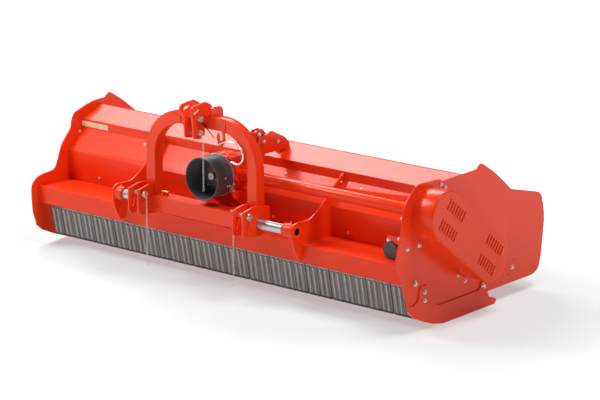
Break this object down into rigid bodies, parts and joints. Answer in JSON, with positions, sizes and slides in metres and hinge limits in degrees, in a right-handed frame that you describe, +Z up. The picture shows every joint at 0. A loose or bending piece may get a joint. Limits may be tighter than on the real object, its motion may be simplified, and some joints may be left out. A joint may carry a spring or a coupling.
{
  "type": "hammer knife mower",
  "caption": "Wide three-point-mounted flail mower with side-shifting arched headstock, belt-driven hammer rotor, front flap curtain, side shoes and hinged rear door.",
  "frame": {"origin": "middle of the bounding box on the ground under the shoes", "axes": "+X along the cutting width towards the belt cover, +Y rearwards (the headstock side is -Y), +Z up"},
  "size_m": [3.337, 1.59, 1.2156],
  "materials": {
    "red_paint": "gloss orange-red paint over welded sheet steel",
    "bright_steel": "ground and plated bar",
    "dark_steel": "dark forged steel",
    "grey_flaps": "dull grey pressed steel",
    "zinc": "zinc plated",
    "black_plastic": "moulded black plastic"
  },
  "bodies": {
    "hood": {"hood_shell": "red_paint", "roof_sheet": "red_paint", "front_box_left": "red_paint", "front_box_right": "red_paint", "front_box_middle": "red_paint", "end_plate_left": "red_paint", "end_plate_right": "red_paint", "side_plate_right": "red_paint", "shoe_left": "red_paint", "shoe_right": "red_paint", "rib_left": "red_paint", "rib_right": "red_paint", "top_lug": "red_paint", "gearbox_stand": "red_paint", "belt_cover": "red_paint", "door_eyes": "red_paint", "drive_tube": "red_paint", "gearbox": "red_paint", "bush_left": "red_paint", "bush_right": "red_paint", "slide_bar": "bright_steel", "rotor_bearing_left": "dark_steel", "rotor_bearing_right": "dark_steel", "flap_bar": "zinc", "door_bar": "zinc", "pto_guard": "black_plastic", "ram_barrel": "dark_steel", "canister": "black_plastic"},
    "headstock": {"lower_beam": "red_paint", "arch": "red_paint", "clevis_left": "red_paint", "clevis_right": "red_paint", "lower_pin_left": "zinc", "lower_pin_right": "zinc", "upper_link_bracket": "red_paint", "upper_pin": "zinc", "spare_pin": "zinc", "arch_stiffeners": "red_paint", "hose_plate": "red_paint", "shaft_hook": "zinc", "ram_rod": "bright_steel", "ram_lug": "red_paint", "chain_left": "zinc", "chain_right": "zinc", "chain_top": "zinc"},
    "rotor": {"rotor_drum": "red_paint", "hammer_lugs": "red_paint", "hammers_1": "dark_steel", "hammers_2": "dark_steel", "hammers_3": "dark_steel", "hammers_4": "dark_steel"},
    "pto": {"pto_shaft": "bright_steel"},
    "flap_row_1": {"flaps_1": "grey_flaps"},
    "flap_row_2": {"flaps_2": "grey_flaps"},
    "flap_row_3": {"flaps_3": "grey_flaps"},
    "flap_row_4": {"flaps_4": "grey_flaps"},
    "door": {"rear_door": "red_paint", "door_knuckles": "red_paint"}
  },
  "joints": [
    {"name": "side_shift", "type": "slide", "parent": "hood", "child": "headstock", "axis": [1, 0, 0], "range_m": [-0.16, 0.18]},
    {"name": "rotor_spin", "type": "hinge", "parent": "hood", "child": "rotor", "pos_m": [-0.057, 0.022, 0.385], "axis": [1, 0, 0], "continuous": true},
    {"name": "pto_spin", "type": "hinge", "parent": "hood", "child": "pto", "pos_m": [-0.077, -0.59, 0.728], "axis": [0, 1, 0], "continuous": true},
    {"name": "flap_swing_1", "type": "hinge", "parent": "hood", "child": "flap_row_1", "pos_m": [-0.057, -0.48, 0.27], "axis": [1, 0, 0], "range_deg": [-10, 60]},
    {"name": "flap_swing_2", "type": "hinge", "parent": "hood", "child": "flap_row_2", "pos_m": [-0.057, -0.48, 0.27], "axis": [1, 0, 0], "range_deg": [-10, 60]},
    {"name": "flap_swing_3", "type": "hinge", "parent": "hood", "child": "flap_row_3", "pos_m": [-0.057, -0.48, 0.27], "axis": [1, 0, 0], "range_deg": [-10, 60]},
    {"name": "flap_swing_4", "type": "hinge", "parent": "hood", "child": "flap_row_4", "pos_m": [-0.057, -0.48, 0.27], "axis": [1, 0, 0], "range_deg": [-10, 60]},
    {"name": "door_hinge", "type": "hinge", "parent": "hood", "child": "door", "pos_m": [-0.057, 0.418, 0.7], "axis": [1, 0, 0], "range_deg": [0, 70]}
  ],
  "couplings": [
    {"joint": "pto_spin", "follows": "rotor_spin", "ratio": 0.45}
  ]
}
